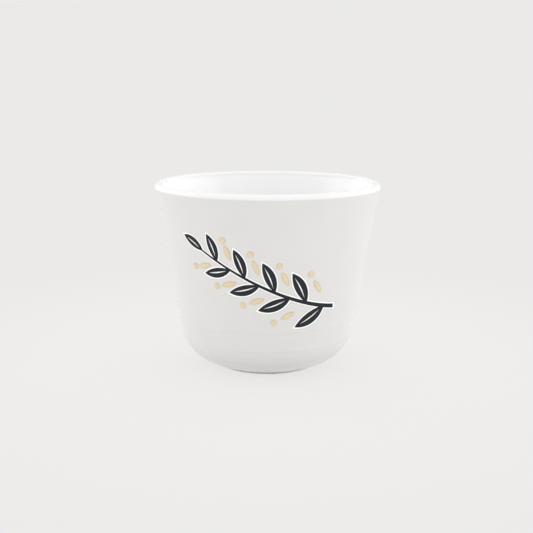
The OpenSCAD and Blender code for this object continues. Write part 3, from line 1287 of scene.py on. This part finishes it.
    def build(self) -> bpy.types.Object:
        """Builds the film and puts it in the place of its CAD node.

        Returns:
            The piece.
        """
        cup = self.sprig.cup
        aslant = MM / math.cos(math.radians(cup.wall_draft))
        values = {
            "Steps along": self.steps_along,
            "Steps across": self.steps_across,
            "Base lift": self.base * aslant,
            "Thickness": self.thickness * aslant,
            "Wall radius at table": cup.wall_r(0) * MM,
            "Wall slope": cup.slope,
            "Ink": self.finish.material(),
        }
        if self.stem_grow is not None:
            values |= self.sprig.stem_sizes(self.stem_grow) | {
                "Stem over leaves": self.stem_over * MM,
                "Stem steps": self.stem_steps,
                "Stem lanes": self.stem_lanes,
            }
        piece = grown(f"{self.film.value}_film", self.mark_points(), self.tree(), values)
        return placed(piece, self.film.value, self.slot)


@dataclass(frozen=True)
class PaleStudio:
    """A plain pale floor and a white surround. Sizes are in metres."""

    backdrop: str = "#EBEAE9"
    floor_colour: str = "#F2F1F0"
    sky_level: float = 1.21
    horizon_level: float = 0.63
    horizon_up_to: float = 0.30
    floor_side: float = 12.0
    floor_near: float = 0.03
    floor_far: float = 0.16
    floor_roughness: float = 0.9
    shadow_wash: float = 0.87

    def world(self) -> None:
        """Lights the object evenly, and shows the backdrop's colour to camera, gloss and glass."""
        world = bpy.data.worlds.new("pale_surround")
        world.use_nodes = True
        bpy.context.scene.world = world
        tree = world.node_tree
        tree.nodes.clear()
        path = add_node(tree, "ShaderNodeLightPath").outputs
        seen = add_formula(tree, "min(1, camera + gloss + through)", {
            "camera": path["Is Camera Ray"],
            "gloss": path["Is Glossy Ray"],
            "through": path["Is Transmission Ray"],
        })
        direction = add_node(tree, "ShaderNodeTexCoord").outputs["Generated"]
        upward = add_node(tree, "ShaderNodeSeparateXYZ", {0: direction}).outputs[2]
        level = add_node(tree, "ShaderNodeMapRange", {
            "Value": upward, "From Min": 0.0, "From Max": self.horizon_up_to,
            "To Min": self.horizon_level, "To Max": self.sky_level,
        }, interpolation_type="SMOOTHSTEP")
        light = add_node(tree, "ShaderNodeBackground", {
            "Color": (1.0, 1.0, 1.0, 1.0), "Strength": level.outputs["Result"],
        })
        shown = add_node(tree, "ShaderNodeBackground", {"Color": linear(self.backdrop), "Strength": 1.0})
        mixed = add_node(tree, "ShaderNodeMixShader", {0: seen, 1: light.outputs[0], 2: shown.outputs[0]})
        add_node(tree, "ShaderNodeOutputWorld", {"Surface": mixed.outputs[0]})

    def floor(self) -> None:
        """Lays a floor that takes the cup's shadow and runs out into the backdrop's colour."""
        half = self.floor_side / 2
        corners = [(x * half, y * half, 0) for x, y in ((-1, -1), (1, -1), (1, 1), (-1, 1))]
        mesh = bpy.data.meshes.new("pale_floor")
        mesh.from_pydata(corners, [], [range(len(corners))])
        made, tree, shader = new_material("matt_paper_floor")
        shader.inputs["Base Color"].default_value = linear(self.floor_colour)
        shader.inputs["Roughness"].default_value = self.floor_roughness
        shader.inputs["Specular IOR Level"].default_value = 0.0
        spot = add_node(tree, "ShaderNodeTexCoord").outputs["Object"]
        far = add_node(tree, "ShaderNodeVectorMath", {0: spot}, operation="LENGTH").outputs["Value"]
        fade = add_node(tree, "ShaderNodeMapRange", {
            "Value": far, "From Min": self.floor_near, "From Max": self.floor_far,
            "To Min": self.shadow_wash, "To Max": 1.0,
        }, interpolation_type="SMOOTHSTEP").outputs["Result"]
        path = add_node(tree, "ShaderNodeLightPath").outputs
        seen = add_formula(tree, "fade * min(1, camera + gloss)", {
            "fade": fade, "camera": path["Is Camera Ray"], "gloss": path["Is Glossy Ray"],
        })
        plain = add_node(tree, "ShaderNodeEmission", {"Color": linear(self.backdrop), "Strength": 1.0})
        mixed = add_node(tree, "ShaderNodeMixShader", {0: seen, 1: shader.outputs[0], 2: plain.outputs[0]})
        tree.links.new(mixed.outputs[0], tree.nodes["Material Output"].inputs["Surface"])
        mesh.materials.append(made)
        floor = new_object("pale_floor", mesh)
        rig.stage(floor)


@dataclass(frozen=True)
class Softbox:
    """An upright soft lamp that stands beside the cup and faces its axis. Lengths are in metres.

    The azimuths of its two edges are in degrees round the cup, with 0 towards the camera and 90
    to the camera's right. At level 1 the lamp is as bright as white paper in plain light.
    """

    name: str
    azimuths: tuple[float, float]
    away: float
    level: float
    height: float = 0.36

    def build(self) -> None:
        """Stands the lamp in its place."""
        width = 2 * self.away * math.tan(math.radians(self.azimuths[1] - self.azimuths[0]) / 2)
        data = bpy.data.lights.new(self.name, "AREA")
        data.shape = "RECTANGLE"
        data.size, data.size_y = width, self.height
        data.energy = self.level * math.pi * width * self.height
        turn = math.radians(sum(self.azimuths) / 2)
        place = Vector((self.away * math.sin(turn), -self.away * math.cos(turn), self.height / 2))
        facing = Vector((place.x, place.y, 0)).to_track_quat("Z", "Y")
        lamp = new_object(self.name, data)
        lamp.matrix_world = Matrix.Translation(place) @ facing.to_matrix().to_4x4()


@dataclass(frozen=True)
class PhotoCamera:
    """The camera at the photograph's place. Lengths are in metres, pixels are of the photo."""

    place: tuple[float, float, float] = (0.0, -0.260, 0.0823)
    known_point: tuple[float, float, float] = (0.0, 0.0, 0.027)
    known_pixel: tuple[float, float] = (267.4, 271.5)
    focal_px: float = 888.6
    roll: float = 0.003
    sensor_mm: float = 36.0
    clip: tuple[float, float] = (0.01, 50.0)

    def build(self) -> None:
        """Builds the camera, turned so that the known point falls on its pixel."""
        data = bpy.data.cameras.new("photo_camera")
        data.sensor_width = self.sensor_mm
        data.lens = self.focal_px / PHOTO_SIDE * self.sensor_mm
        data.clip_start, data.clip_end = self.clip
        data.dof.use_dof = False
        camera = new_object("photo_camera", data)
        place = Vector(self.place)
        aim = (Vector(self.known_point) - place).to_track_quat("-Z", "Y")
        right = (self.known_pixel[0] - PHOTO_SIDE / 2) / self.focal_px
        down = (self.known_pixel[1] - PHOTO_SIDE / 2) / self.focal_px
        nudge = Matrix.Rotation(math.atan(right), 4, "Y") @ Matrix.Rotation(math.atan(down), 4, "X")
        camera.matrix_world = (
            Matrix.Translation(place) @ aim.to_matrix().to_4x4() @ nudge @ Matrix.Rotation(self.roll, 4, "Z")
        )
        bpy.context.scene.camera = camera


# A softbox at each side of the cup, and a brighter rim lamp behind each
SOFTBOXES = (
    Softbox("left_softbox", azimuths=(-124.0, -74.0), away=0.8, level=0.95),
    Softbox("right_softbox", azimuths=(62.0, 125.0), away=0.8, level=1.1),
    Softbox("left_rim_lamp", azimuths=(-150.0, -125.0), away=0.9, level=3.0),
    Softbox("right_rim_lamp", azimuths=(126.0, 150.0), away=0.9, level=3.5),
)
CHARCOAL_INK = ScreenInk(
    name="charcoal_screen_ink", colour="#23272D", edge_colour="#141619", pull_colour="#2A2D32",
    roughness=0.38, ior=1.25, side_vein_mm=1.1,
)
WHITE_INK = ScreenInk(
    name="white_screen_ink", colour="#FCFCFB", edge_colour="#F8F8F7", pull_colour="#FAFAF9",
    roughness=0.3, edge_mm=0.12,
)
GOLD_INK = ScreenInk(
    name="pale_gold_screen_ink", colour="#DCC9A4", edge_colour="#CDB88E", pull_colour="#E3D3B3",
    roughness=0.42, metallic=0.15,
)


def main() -> None:
    """Builds the studio, the cup and the three films, and writes the two boxes."""
    logging.basicConfig(level=logging.INFO, format="%(message)s")
    bpy.context.scene.view_settings.view_transform = "Standard"
    PhotoCamera().build()
    studio = PaleStudio()
    studio.world()
    studio.floor()
    for softbox in SOFTBOXES:
        softbox.build()
    low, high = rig.box("cup_glass")
    cup = CupGlass(OpalGlass(), rim_d=(high.x - low.x) / MM, height=(high.z - low.z) / MM)
    sprig = Sprig(cup)
    border_t, ink_t, gold_t = 0.1, 0.06, 0.1
    border = PrintedFilm(
        sprig, Film.BORDER, WHITE_INK, "white_print",
        sprig.leaf_marks(sprig.border_w, sprig.border_tip, open_vein=False),
        base=0.0, thickness=border_t, stem_grow=sprig.border_w,
    )
    charcoal = PrintedFilm(
        sprig, Film.CHARCOAL, CHARCOAL_INK, "charcoal_print",
        sprig.leaf_marks(0.0, 0.0, open_vein=True),
        base=border_t, thickness=ink_t, stem_grow=0.0,
    )
    gold = PrintedFilm(
        sprig, Film.GOLD, GOLD_INK, "gold_print", sprig.gold_marks(), base=0.0, thickness=gold_t,
    )
    for part in (cup, border, charcoal, gold):
        piece = part.build()
        log.info("%s: %d faces", piece.name, len(piece.data.polygons))
    boxes = {"cad": CAD_BOX, "visual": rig.bounds()}
    with open(SIZE_FILE, "w") as file:
        json.dump({name: [list(corner) for corner in box] for name, box in boxes.items()}, file)


if __name__ == "__main__":
    main()
